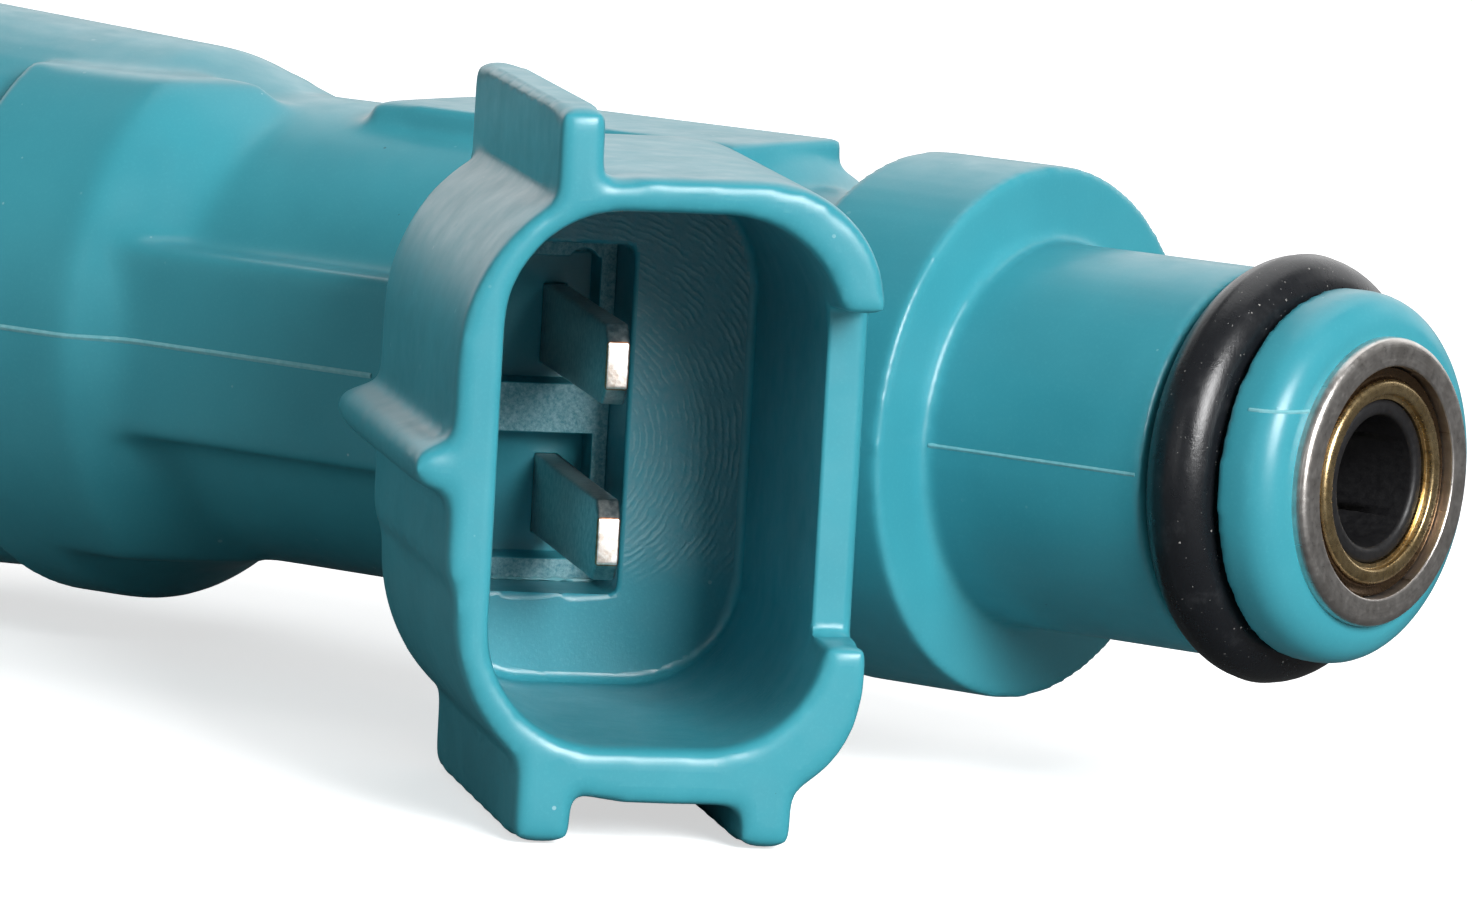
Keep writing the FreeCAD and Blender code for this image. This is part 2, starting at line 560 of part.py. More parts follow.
def make_housing(doc, terminals, placement):
    pieces = [make_collar(doc), make_cheek(doc), make_shell(doc, placement), make_left_band(doc, placement)]
    solid = boolean(doc, "fuse", "housing_solid", make_barrel(doc), pieces)
    tools = [make_barrel_void(doc), *make_socket_tools(doc, placement), *terminals]
    return boolean(doc, "cut", "moulded_housing", solid, tools)


# ---- assembly ----------------------------------------------------------------------------------

def make_nodes(doc, sheet):
    placement = connector_placement(sheet)
    terminals = [make_terminal(doc, "terminal_blade_upper", 1, placement),
                 make_terminal(doc, "terminal_blade_lower", -1, placement)]
    ball = make_valve_ball(doc)
    return [
        make_housing(doc, terminals, placement), *terminals, make_carrier(doc, terminals, placement),
        make_torus(doc, "inlet_oring", "inlet_ring_middle", "inlet_ring_major", "inlet_ring_section"),
        make_inlet_tube(doc), make_filter_ring(doc), make_filter_basket(doc), make_filter_mesh(doc),
        make_fixed_core(doc),
        turned(doc, "spring_adjuster",
               ring_outline("adjuster_start", "adjuster_end", "adjuster_bore", "core_bore")),
        make_return_spring(doc, sheet),
        turned(doc, "magnet_yoke", ring_outline("yoke_start", "yoke_end", "yoke_bore", "yoke_radius")),
        make_yoke_plate(doc), make_coil_bobbin(doc, terminals),
        turned(doc, "coil_winding", ring_outline("bobbin_start + bobbin_cheek", "bobbin_end - bobbin_cheek",
                                                 "bobbin_barrel", "winding_radius")),
        make_torus(doc, "coil_seal_upper", "coil_seal_middle", "coil_seal_major", "coil_seal_section"),
        make_torus(doc, "coil_seal_lower", "foot_seal_middle", "foot_seal_major", "foot_seal_section"),
        turned(doc, "nonmagnetic_sleeve", [
            ("sleeve_start", "tube_radius"), ("sleeve_start", "sleeve_radius"),
            ("sleeve_end", "sleeve_radius"), ("sleeve_end", "armature_bore"),
            ("core_end", "armature_bore"), ("core_end", "tube_radius")]),
        turned(doc, "lift_stop", ring_outline("stop_start", "stop_end", "stop_bore", "valve_flange_radius")),
        make_armature(doc), make_needle(doc, ball), ball,
        make_valve_body(doc), make_needle_guide(doc), make_valve_seat(doc), make_orifice_plate(doc),
        turned(doc, "seal_backup_ring", ring_outline("yoke_end", "backup_end", "valve_body_radius",
                                                     "backup_radius")),
        make_torus(doc, "lower_oring", "backup_end + lower_ring_section",
                   "valve_body_radius + lower_ring_section", "lower_ring_section"),
        make_nozzle_cap(doc),
    ]


def check_document(doc, nodes):
    broken = [o.Name for o in doc.Objects if "Invalid" in o.State or "Error" in o.State]
    if broken:
        raise RuntimeError(f"objects that failed: {broken}")
    for node in nodes:
        shape = node.Shape
        if shape.isNull() or not shape.isValid() or not shape.Solids:
            raise RuntimeError(f"{node.Label} has no valid solid")


def main():
    doc = FreeCAD.newDocument("fuel_injector")
    sheet = make_sheet(doc)
    nodes = make_nodes(doc, sheet)
    doc.recompute()
    check_document(doc, nodes)
    os.makedirs("parts", exist_ok=True)
    for node in nodes:
        node.Shape.exportStep(f"parts/{node.Label}.step")
        print(f"{node.Label}: {len(node.Shape.Solids)} solid, {node.Shape.Volume:.2f} mm3")


main()
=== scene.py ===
import json
import math
import random

import bmesh
import bpy
import numpy as np
from mathutils import Matrix, Vector
from mathutils.bvhtree import BVHTree


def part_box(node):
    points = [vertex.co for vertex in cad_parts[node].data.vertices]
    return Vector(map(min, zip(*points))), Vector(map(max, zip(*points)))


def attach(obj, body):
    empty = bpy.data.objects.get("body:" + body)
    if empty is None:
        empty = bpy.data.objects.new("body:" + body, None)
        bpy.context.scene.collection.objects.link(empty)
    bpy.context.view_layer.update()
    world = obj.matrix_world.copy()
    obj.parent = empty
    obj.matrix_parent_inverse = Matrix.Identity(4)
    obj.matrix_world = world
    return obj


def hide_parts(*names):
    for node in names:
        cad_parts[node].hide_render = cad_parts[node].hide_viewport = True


# Fuel injector. Metres, in the frame of the CAD model: the inlet's end face is at X = 0, the nozzle points
# to -X, the connector leans out towards -Y and +X, and +Z is up. Outlines are in millimetres, as
# (depth, radius): "depth" is the distance behind the inlet face.

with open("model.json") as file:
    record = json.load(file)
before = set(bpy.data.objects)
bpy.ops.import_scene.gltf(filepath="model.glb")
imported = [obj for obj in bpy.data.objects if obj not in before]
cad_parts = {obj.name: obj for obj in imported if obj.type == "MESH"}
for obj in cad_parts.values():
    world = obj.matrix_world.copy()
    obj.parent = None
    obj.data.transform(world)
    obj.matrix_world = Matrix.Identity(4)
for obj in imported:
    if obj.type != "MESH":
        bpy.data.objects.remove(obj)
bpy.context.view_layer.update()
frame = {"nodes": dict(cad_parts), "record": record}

MM = 0.001
BODY = "injector_body"

# The connector: the middle of its mouth, the way it faces, and the way across it.
SOCKET = next(mount for mount in frame["record"]["mounts"] if mount["name"] == "electrical_socket")
MOUTH = Vector(SOCKET["pos_m"])
OUT = Vector(SOCKET["axis"])
UP = Vector((0, 0, 1))
ACROSS = UP.cross(OUT)


# ---- small tools ---------------------------------------------------------------------------------

def span(node):
    """A turned node's front depth, back depth and outer radius, in millimetres."""
    low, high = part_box(node)
    return -high[0] / MM, -low[0] / MM, high[2] / MM


def connector_point(across, up, behind):
    """A point in the connector's own millimetres; behind is measured from the mouth inwards."""
    return MOUTH + (ACROSS * across + UP * up - OUT * behind) * MM


def new_object(name, verts, faces):
    mesh = bpy.data.meshes.new(name)
    mesh.from_pydata([tuple(v) for v in verts], [], faces)
    mesh.validate()
    obj = bpy.data.objects.new(name, mesh)
    bpy.context.scene.collection.objects.link(obj)
    return smooth(obj)


def smooth(obj, sharp_degrees=40):
    mesh = obj.data
    mesh.polygons.foreach_set("use_smooth", [True] * len(mesh.polygons))
    mesh.set_sharp_from_angle(angle=math.radians(sharp_degrees))
    mesh.update()
    return obj


def copy_of(node, name, whole_faces=False):
    """A copy of a node's mesh; whole_faces joins the triangles of each flat face."""
    obj = bpy.data.objects.new(name, frame["nodes"][node].data.copy())
    bpy.context.scene.collection.objects.link(obj)
    tidy = bmesh.new()
    tidy.from_mesh(obj.data)
    bmesh.ops.remove_doubles(tidy, verts=tidy.verts, dist=1e-7)
    if whole_faces:
        bmesh.ops.dissolve_limit(tidy, angle_limit=math.radians(1), verts=tidy.verts, edges=tidy.edges)
    tidy.to_mesh(obj.data)
    tidy.free()
    return obj


def modified(obj, kind, **settings):
    """Adds one modifier and makes it part of the mesh."""
    modifier = obj.modifiers.new(kind, kind)
    for key, value in settings.items():
        setattr(modifier, key, value)
    bpy.context.view_layer.update()
    depsgraph = bpy.context.evaluated_depsgraph_get()
    mesh = bpy.data.meshes.new_from_object(obj.evaluated_get(depsgraph))
    obj.modifiers.clear()
    obj.data = mesh
    return obj


def boolean(obj, operation, tool):
    modified(obj, "BOOLEAN", operation=operation, object=tool, solver="MANIFOLD")
    bpy.data.objects.remove(tool)
    return obj


def joined(obj, others):
    """Puts the other objects' meshes into the first one, as shells of their own."""
    both = bmesh.new()
    both.from_mesh(obj.data)
    for other in others:
        both.from_mesh(other.data)
        bpy.data.objects.remove(other)
    both.to_mesh(obj.data)
    both.free()
    return obj


def add_piece(obj, slot, *nodes, materials=(), body=BODY):
    """Gives a finished piece its materials, hangs it on its body and hides the nodes it stands for."""
    obj.data.materials.clear()
    for material in materials or (MATERIALS[slot],):
        obj.data.materials.append(material)
    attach(obj, body)
    if nodes:
        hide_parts(*nodes)
    return obj


def paint(obj, index, wanted):
    """Gives the faces that wanted(centre, normal) accepts the object's material with that index."""
    for face in obj.data.polygons:
        if wanted(face.center, face.normal):
            face.material_index = index


def rounded_outline(corners, steps):
    """Outline of (depth, radius) points from corners (depth, radius, round), all in millimetres."""
    points = []
    for i, (x, r, rounding) in enumerate(corners):
        here = Vector((x, r))
        if rounding == 0:
            points.append(here)
            continue
        before = Vector(corners[i - 1][:2]) - here
        after = Vector(corners[(i + 1) % len(corners)][:2]) - here
        half_turn = before.angle(after) / 2
        reach = min(rounding / math.tan(half_turn), 0.49 * before.length, 0.49 * after.length)
        start, end = here + before.normalized() * reach, here + after.normalized() * reach
        for step in range(steps + 1):
            k = step / steps
            points.append(start * (1 - k) ** 2 + here * 2 * k * (1 - k) + end * k ** 2)
    return points


def lathe(name, corners, segments=160, steps=5):
    """Turns a closed outline of (depth, radius, round) corners about the injector's axis."""
    outline = rounded_outline(corners, steps)
    count = len(outline)
    verts, faces = [], []
    for i in range(segments):
        turn = 2 * math.pi * i / segments
        for point in outline:
            verts.append((-point.x * MM, point.y * math.cos(turn) * MM, point.y * math.sin(turn) * MM))
        for j in range(count):
            a, b = i * count, (i + 1) % segments * count
            faces.append((a + j, b + j, b + (j + 1) % count, a + (j + 1) % count))
    obj = new_object(name, verts, faces)
    tidy = bmesh.new()
    tidy.from_mesh(obj.data)
    bmesh.ops.remove_doubles(tidy, verts=tidy.verts, dist=1e-8)
    bmesh.ops.recalc_face_normals(tidy, faces=tidy.faces)
    tidy.to_mesh(obj.data)
    tidy.free()
    return smooth(obj)


def bead(name, path, sections):
    """A closed strip along a path; sections gives each point's ring of corners around it."""
    verts, faces = [], []
    for point, ring in zip(path, sections):
        verts.extend(point + corner for corner in ring)
    size = len(sections[0])
    for i in range(len(path) - 1):
        a, b = i * size, (i + 1) * size
        faces.extend((a + j, a + (j + 1) % size, b + (j + 1) % size, b + j) for j in range(size))
    faces.append(tuple(range(size))[::-1])
    faces.append(tuple(range(len(verts) - size, len(verts))))
    obj = new_object(name, verts, faces)
    tidy = bmesh.new()
    tidy.from_mesh(obj.data)
    bmesh.ops.recalc_face_normals(tidy, faces=tidy.faces)
    tidy.to_mesh(obj.data)
    tidy.free()
    return obj


def flash(name, path, thin_mm, thick_mm, seed):
    """Ragged flash: a thread of uneven thickness along a path."""
    dice = random.Random(seed)
    sections = []
    for i in range(len(path)):
        along = (path[min(i + 1, len(path) - 1)] - path[max(i - 1, 0)]).normalized()
        side = along.orthogonal().normalized()
        other = along.cross(side)
        radius = dice.uniform(thin_mm, thick_mm) * MM
        sections.append([(side * math.cos(k * math.pi / 3) + other * math.sin(k * math.pi / 3)) * radius
                         * dice.uniform(0.6, 1.2) for k in range(6)])
    return bead(name, path, sections)


def ridge(name, tree, rays, width_mm, height_mm):
    """A parting line: a low ridge on the surface where the rays, (origin, direction) pairs, meet it."""
    hits = [tree.ray_cast(origin, towards)[:2] for origin, towards in rays]
    hits = [(place, normal) for place, normal in hits if place is not None]
    path = [place for place, _ in hits]
    sections = []
    for i, (place, normal) in enumerate(hits):
        along = (path[min(i + 1, len(path) - 1)] - path[max(i - 1, 0)]).normalized()
        side = normal.cross(along).normalized()
        profile = ((-1, -0.6), (-0.45, 0.6), (0, 1), (0.45, 0.6), (1, -0.6))
        sections.append([(side * a * width_mm / 2 + normal * b * height_mm) * MM for a, b in profile])
    return bead(name, path, sections)


# ---- material tools ------------------------------------------------------------------------------

def rgba(r, g, b):
    return (r, g, b, 1.0)


class Shader:
    """A Principled material under construction; "place" is the surface point in the object's frame."""

    def __init__(self, name):
        self.material = bpy.data.materials.new(name)
        self.material.use_nodes = True
        self.tree = self.material.node_tree
        self.bsdf = self.tree.nodes["Principled BSDF"]
        self.place = self.tree.nodes.new("ShaderNodeTexCoord").outputs["Object"]

    def node(self, kind, inputs=None, **settings):
        made = self.tree.nodes.new("ShaderNode" + kind)
        for key, value in settings.items():
            setattr(made, key, value)
        for key, value in (inputs or {}).items():
            self.feed(made.inputs[key], value)
        return made

    def feed(self, socket, value):
        if isinstance(value, bpy.types.NodeSocket):
            self.tree.links.new(value, socket)
        else:
            socket.default_value = value

    def set(self, **values):
        for key, value in values.items():
            self.feed(self.bsdf.inputs[key.replace("_", " ")], value)
        return self

    def noise(self, size_mm, detail=4.0, roughness=0.5, at=None):
        made = self.node("TexNoise", {"Vector": at or self.place, "Scale": 1 / (size_mm * MM),
                                      "Detail": detail, "Roughness": roughness})
        return made.outputs["Fac"]

    def specks(self, spacing_mm, radius_mm, share):
        """1 on round specks scattered about that far apart, of which only a share is there."""
        cells = self.node("TexVoronoi", {"Vector": self.place, "Scale": 1 / (spacing_mm * MM)})
        draw = self.node("SeparateColor", {"Color": cells.outputs["Color"]})
        chosen = self.math("LESS_THAN", draw.outputs[0], share)
        size = self.spread(draw.outputs[1], 0, 1, 0.4 * radius_mm / spacing_mm, radius_mm / spacing_mm)
        return self.math("MULTIPLY", chosen, self.math("LESS_THAN", cells.outputs["Distance"], size))

    def math(self, operation, a, b=0.0):
        return self.node("Math", {0: a, 1: b}, operation=operation).outputs[0]

    def spread(self, value, low, high, to_low=0.0, to_high=1.0):
        return self.node("MapRange", {"Value": value, "From Min": low, "From Max": high, "To Min": to_low,
                                      "To Max": to_high}).outputs["Result"]

    def mix(self, share, a, b):
        made = self.node("Mix", data_type="RGBA")
        self.feed(made.inputs[0], share)
        self.feed(made.inputs[6], a)
        self.feed(made.inputs[7], b)
        return made.outputs[2]

    def bump(self, height, distance_mm, below=None):
        made = self.node("Bump", {"Height": height, "Distance": distance_mm * MM})
        if below is not None:
            self.feed(made.inputs["Normal"], below)
        return made.outputs["Normal"]

    def parts(self):
        return self.node("SeparateXYZ", {"Vector": self.place}).outputs

    def radius(self):
        """Distance from the injector's axis, in metres."""
        _, y, z = self.parts()
        return self.math("SQRT", self.math("ADD", self.math("POWER", y, 2.0), self.math("POWER", z, 2.0)))

    def distance_from_line(self, point, direction):
        """Distance in metres from the line through the point along the direction."""
        away = self.node("VectorMath", {0: self.place, 1: tuple(point)}, operation="SUBTRACT")
        cross = self.node("VectorMath", {0: away.outputs[0], 1: tuple(direction)}, operation="CROSS_PRODUCT")
        return self.node("VectorMath", {0: cross.outputs[0]}, operation="LENGTH").outputs["Value"]


# ---- materials -----------------------------------------------------------------------------------

TEAL_DEEP, TEAL, TEAL_PALE = rgba(0.032, 0.245, 0.305), rgba(0.042, 0.290, 0.355), rgba(0.090, 0.38, 0.45)


def moulded_teal(name, grain_bump=0.0009, pale_share=0.18):
    """Glass-filled plastic: cloudy teal with a fine grain, pale specks and a few dark pits."""
    s = Shader(name)
    colour = s.mix(s.spread(s.noise(5.0, 3.0), 0.3, 0.7), TEAL_DEEP, TEAL)
    grain = s.noise(0.10, 4.0, 0.65)
    colour = s.mix(s.spread(grain, 0.52, 0.75, 0.0, pale_share), colour, TEAL_PALE)
    patches = s.spread(s.noise(2.6, 2.0), 0.42, 0.62)
    pale = s.math("MULTIPLY", s.specks(0.55, 0.075, 0.16), patches)
    colour = s.mix(s.math("MULTIPLY", pale, 0.45), colour, rgba(0.42, 0.60, 0.64))
    colour = s.mix(s.math("MULTIPLY", s.specks(1.1, 0.045, 0.10), 0.7), colour, rgba(0.006, 0.05, 0.065))
    s.set(Base_Color=colour, Roughness=s.spread(s.noise(1.1, 3.0, 0.6), 0.3, 0.7, 0.29, 0.39), IOR=1.50)
    normal = s.bump(s.noise(2.4, 2.0), 0.014)
    return s, s.bump(grain, grain_bump, normal)


def teal_plastic():
    s, normal = moulded_teal("teal_plastic")
    return s.set(Normal=normal).material


def pale_teal():
    """The thin, stressed plastic of parting lines and flash."""
    s, normal = moulded_teal("pale_teal", 0.01, 0.9)
    colour = s.mix(s.noise(0.2), rgba(0.07, 0.32, 0.37), rgba(0.24, 0.50, 0.54))
    return s.set(Base_Color=colour, Normal=normal).material


def tooled_teal():
    """The floor of the socket, greyed by the short arcs that the cutter left round the mould's core."""
    s, normal = moulded_teal("tooled_teal", 0.006, 0.3)
    swirl = s.distance_from_line(connector_point(-0.8, -0.4, 12.0), OUT)
    wobble = s.math("MULTIPLY", s.noise(0.9, 4.0, 0.6), 0.35 * MM)
    waves = s.math("SINE", s.math("MULTIPLY", s.math("ADD", swirl, wobble), 2 * math.pi / (0.19 * MM)))
    height = s.parts()[2]
    high_up = s.spread(height, -4.4 * MM, -3.2 * MM)
    broken = s.math("MULTIPLY", s.spread(s.noise(0.6, 4.0, 0.65), 0.42, 0.58), high_up)
    marks = s.math("MULTIPLY", waves, broken)
    plain = s.bsdf.inputs["Base Color"].links[0].from_socket
    greyed = s.math("MULTIPLY", high_up, s.spread(s.noise(0.25, 5.0, 0.7), 0.35, 0.7, 0.25, 0.8))
    colour = s.mix(greyed, plain, rgba(0.13, 0.30, 0.35))
    s.set(Base_Color=s.mix(s.spread(marks, 0.3, 1.0, 0.0, 0.35), colour, rgba(0.30, 0.48, 0.52)))
    return s.set(Normal=s.bump(marks, 0.008, normal)).material


def pitted_teal():
    """The socket's lower wall: the fine pitting of a spark-eroded mould."""
    s, normal = moulded_teal("pitted_teal", 0.012, 0.55)
    return s.set(Normal=s.bump(s.noise(0.16, 5.0, 0.7), 0.02, normal), Roughness=0.42).material


def sawn_teal():
    """The rough, greyed face of the terminal carrier."""
    s, normal = moulded_teal("sawn_teal", 0.012, 0.5)
    rough = s.noise(0.13, 5.0, 0.75)
    s.set(Base_Color=s.mix(s.spread(rough, 0.35, 0.68), rgba(0.07, 0.27, 0.33), rgba(0.32, 0.56, 0.60)),
          Roughness=0.55)
    return s.set(Normal=s.bump(rough, 0.03, normal)).material


def black_rubber():
    s = Shader("black_rubber")
    dust = s.noise(0.9, 6.0, 0.75)
    colour = s.mix(s.spread(dust, 0.55, 0.75, 0.0, 0.3), rgba(0.007, 0.008, 0.010), rgba(0.05, 0.052, 0.056))
    lint = s.math("MULTIPLY", s.specks(0.24, 0.035, 0.35), s.spread(s.noise(1.6, 2.0), 0.42, 0.60))
    colour = s.mix(s.math("MULTIPLY", lint, 0.7), colour, rgba(0.36, 0.35, 0.33))
    colour = s.mix(s.math("MULTIPLY", s.specks(0.11, 0.016, 0.3), 0.6), colour, rgba(0.30, 0.30, 0.29))
    s.set(Base_Color=colour, Roughness=s.spread(dust, 0.3, 0.7, 0.24, 0.36), IOR=1.5)
    normal = s.bump(s.noise(1.2, 3.0), 0.012)
    return s.set(Normal=s.bump(s.noise(0.10, 4.0, 0.65), 0.006, normal)).material


def turned_metal(name, dark, light, roughness, ring_mm=0.06, dark_band=None, band_from=0.0, band_to=0.0):
    """Metal with fine rings from the lathe, and a darker band between two radii where one is given."""
    s = Shader(name)
    x = s.parts()[0]
    radius = s.radius()
    across = s.node("CombineXYZ", {0: radius, 1: x}).outputs[0]
    rings = s.noise(ring_mm, 3.0, 0.6, at=across)
    cloud = s.noise(0.7, 6.0, 0.65)
    colour = s.mix(s.spread(cloud, 0.3, 0.7), dark, light)
    colour = s.mix(s.spread(rings, 0.45, 0.7, 0.0, 0.35), colour, dark)
    # Darker between the two radii, where a colour for that band is given.
    if dark_band:
        beyond = s.math("GREATER_THAN", radius, band_from * MM)
        within = s.math("LESS_THAN", radius, band_to * MM)
        colour = s.mix(s.math("MULTIPLY", beyond, within), colour, dark_band)
    scratches = s.node("CombineXYZ", {0: s.math("MULTIPLY", radius, 0.12), 1: s.parts()[1], 2: s.parts()[2]})
    scuffs = s.noise(0.18, 5.0, 0.7, at=scratches.outputs[0])
    s.set(Base_Color=colour, Metallic=1.0,
          Roughness=s.spread(scuffs, 0.3, 0.7, roughness - 0.08, roughness + 0.10))
    normal = s.bump(rings, 0.005)
    return s.set(Normal=s.bump(scuffs, 0.004, normal)).material


def satin_plastic(name, dark, light):
    s = Shader(name)
    grain = s.noise(0.2, 4.0, 0.6)
    s.set(Base_Color=s.mix(grain, dark, light), Roughness=s.spread(grain, 0.3, 0.7, 0.38, 0.55))
    return s.set(Normal=s.bump(grain, 0.01)).material


def woven_cloth():
    s = Shader("filter_cloth")
    x, y, z = s.parts()
    warp = s.math("SINE", s.math("MULTIPLY", s.math("ARCTAN2", z, y), 60.0))
    weft = s.math("SINE", s.math("MULTIPLY", x, 2 * math.pi / (0.18 * MM)))
    weave = s.math("MULTIPLY", warp, weft)
    colour = s.mix(s.spread(weave, -1, 1), rgba(0.05, 0.05, 0.045), rgba(0.35, 0.34, 0.31))
    s.set(Base_Color=colour, Roughness=0.7)
    return s.set(Normal=s.bump(weave, 0.03)).material


def wound_copper():
    s = Shader("winding_copper")
    turns = s.math("SINE", s.math("MULTIPLY", s.parts()[0], 2 * math.pi / (0.16 * MM)))
    colour = s.mix(s.spread(turns, -1, 1), rgba(0.16, 0.04, 0.015), rgba(0.62, 0.22, 0.09))
    s.set(Base_Color=colour, Metallic=0.8, Roughness=0.35)
    return s.set(Normal=s.bump(turns, 0.03)).material


def mottled_metal(name, dark, light, low, high):
    s = Shader(name)
    mottle = s.noise(0.22, 5.0, 0.7)
    s.set(Base_Color=s.mix(s.spread(mottle, 0.38, 0.62), dark, light), Metallic=1.0,
          Roughness=s.spread(mottle, 0.3, 0.7, low, high))
    return s.set(Normal=s.bump(mottle, 0.012)).material


MATERIALS = {
    "teal_plastic": teal_plastic(),
    "black_rubber": black_rubber(),
    "tinned_terminal": mottled_metal("tinned_terminal", rgba(0.30, 0.31, 0.31), rgba(0.50, 0.50, 0.48),
                                     0.28, 0.45),
    "inlet_steel": turned_metal("inlet_steel", rgba(0.52, 0.49, 0.46), rgba(0.80, 0.77, 0.74), 0.34),
    "filter_brass": turned_metal("filter_brass", rgba(0.42, 0.29, 0.13), rgba(0.78, 0.60, 0.33), 0.28,
                                 dark_band=rgba(0.16, 0.10, 0.055), band_from=2.80, band_to=3.14),
    "black_nylon": satin_plastic("black_nylon", rgba(0.004, 0.004, 0.005), rgba(0.012, 0.012, 0.013)),
    "filter_cloth": woven_cloth(),
    "magnet_steel": turned_metal("magnet_steel", rgba(0.33, 0.33, 0.34), rgba(0.5, 0.5, 0.5), 0.35),
    "spring_steel": turned_metal("spring_steel", rgba(0.28, 0.28, 0.3), rgba(0.42, 0.42, 0.43), 0.3),
    "plated_yoke": turned_metal("plated_yoke", rgba(0.48, 0.48, 0.46), rgba(0.66, 0.66, 0.63), 0.36),
    "winding_copper": wound_copper(),
    "stainless_steel": turned_metal("stainless_steel", rgba(0.48, 0.48, 0.48), rgba(0.65, 0.65, 0.65), 0.25),
}
TOOLED, PITTED, PALE, SAWN = tooled_teal(), pitted_teal(), pale_teal(), sawn_teal()
SHEARED_TIP = mottled_metal("sheared_tip", rgba(0.80, 0.68, 0.58), rgba(0.98, 0.95, 0.92), 0.35, 0.55)
BARE_COPPER = mottled_metal("bare_copper", rgba(0.45, 0.17, 0.08), rgba(0.78, 0.36, 0.20), 0.3, 0.45)

for subpart in frame["record"]["subparts"]:
    node_mesh = frame["nodes"][subpart["node"]].data
    node_mesh.materials.clear()
    node_mesh.materials.append(MATERIALS[subpart["material_slot"]])


# ---- moulded housing -----------------------------------------------------------------------------

VOXEL = 0.14
FACES_WANTED = 185000
LIP_FRONT, HOUSING_END = span("moulded_housing")[:2]
TUBE_COLLAR_END, TUBE_CONE_END = 1.4, 2.0
SOCKET_DEPTH, CARRIER_FACE = 12.0, 14.6
SOCKET_LEFT, SOCKET_RIGHT, SOCKET_HALF_HEIGHT, SOCKET_ROUND = 4.4, 4.6, 7.05, 3.1


def barrel_space(name, front, end, spare, lead_room=None):
    """The round space inside the moulding; lead_room widens it where the terminals' leads run."""
    collar, tube = span("inlet_tube")[2] + spare, span("fixed_core")[2] + spare
    yoke_front, _, yoke = span("magnet_yoke")
    corners = [(front, 0, 0), (front, collar, 0), (TUBE_COLLAR_END, collar, 0), (TUBE_CONE_END, tube, 0)]
    if lead_room:
        room_front = 24.0
        corners += [(room_front, tube, 0), (room_front, lead_room, 0), (yoke_front, lead_room, 0)]
    else:
        corners += [(yoke_front, tube, 0)]
    corners += [(yoke_front, yoke + spare, 0), (end, yoke + spare, 0), (end, 0, 0)]
    return lathe(name, corners)


def step(values, low, high):
    """0 below low, 1 above high, and smooth between."""
    k = np.clip((values - low) / (high - low), 0, 1)
    return k * k * (3 - 2 * k)


def connector_places(points):
    """Across, up and behind for each point, in the connector's millimetres."""
    away = (points - np.array(MOUTH)) / MM
    return away @ np.array(ACROSS), away[:, 2], -(away @ np.array(OUT))


def soften(obj, rounds):
    """Evens out the mesh; rounds is a list of (passes, share(points) from 0 to 1)."""
    mesh = obj.data
    points = np.empty(len(mesh.vertices) * 3)
    mesh.vertices.foreach_get("co", points)
    points = points.reshape(-1, 3)
    edges = np.empty(len(mesh.edges) * 2, int)
    mesh.edges.foreach_get("vertices", edges)
    edges = edges.reshape(-1, 2)
    degree = np.maximum(np.bincount(edges.ravel(), minlength=len(points)), 1)
    for passes, share_of in rounds:
        share = 0.5 * share_of(points)
        used = (share[edges[:, 0]] > 0) | (share[edges[:, 1]] > 0)
        near = edges[used]
        start, end = np.concatenate([near[:, 0], near[:, 1]]), np.concatenate([near[:, 1], near[:, 0]])
        moving = share > 0
        for _ in range(passes):
            for axis in range(3):
                total = np.bincount(start, weights=points[end, axis], minlength=len(points))
                change = share * (total / degree - points[:, axis])
                points[moving, axis] += change[moving]
    mesh.vertices.foreach_set("co", points.ravel())
    mesh.update()


def settle(obj, source):
    """Puts the connector's flat faces back exactly where the CAD model has them."""
    tree = BVHTree.FromObject(source, bpy.context.evaluated_depsgraph_get())
    points = np.array([vertex.co for vertex in obj.data.vertices])
    back, all_the_way, not_at_all, reach, square = 17.0, 0.02, 0.05, 0.06, 0.9999
    for index in np.flatnonzero(connector_places(points)[2] < back):
        vertex = obj.data.vertices[index]
        place, normal, _, away = tree.find_nearest(vertex.co, reach * MM)
        if place is not None and max(abs(normal.dot(axis)) for axis in (OUT, UP, ACROSS)) > square:
            vertex.co = vertex.co.lerp(place, 1 - float(step(away / MM, all_the_way, not_at_all)))


def inside_socket(points):
    across, up, behind = connector_places(points)
    spare, front, back = 0.1, 1.0, 19.0
    within = (across > -SOCKET_LEFT - spare) & (across < SOCKET_RIGHT + spare)
    return within & (abs(up) < SOCKET_HALF_HEIGHT + spare) & (behind > front) & (behind < back)


def everywhere(points):
    return np.where(inside_socket(points) & (connector_places(points)[2] > SOCKET_DEPTH - 1), 0.5, 1.0)


def blended_pads(points):
    """The collar, the face pad and the neck under the connector run into one another softly."""
    depth, up = -points[:, 0] / MM, points[:, 2] / MM
    body = step(depth, 20.6, 23.0) * (1 - step(depth, 44.2, 45.2))
    crisp_top = step(up, 5.6, 6.4) * (1 - step(depth, 32.5, 34.0))
    connector = step(connector_places(points)[2], 12.5, 14.5)
    return body * (1 - crisp_top) * connector * ~inside_socket(points)


def bell_rear(points):
    """The back of the connector's shroud, which swells out of the barrel like a bell."""
    across, _, behind = connector_places(points)
    depth = -points[:, 0] / MM
    return (step(behind, 11.5, 14.0) * (1 - step(behind, 19.0, 21.0)) * step(depth, 17.5, 19.0)
            * ~inside_socket(points))


def rim(points):
    """The shroud's rim, the front of its ribs and the ends of its feet, all well rounded."""
    return 1 - step(connector_places(points)[2], 0.7, 1.7)


def left_side(points):
    """The shroud's left side, where the band and the rib blend into the wall."""
    across, _, behind = connector_places(points)
    return (1 - step(across, -5.2, -4.7)) * (1 - step(behind, 17.0, 19.0))


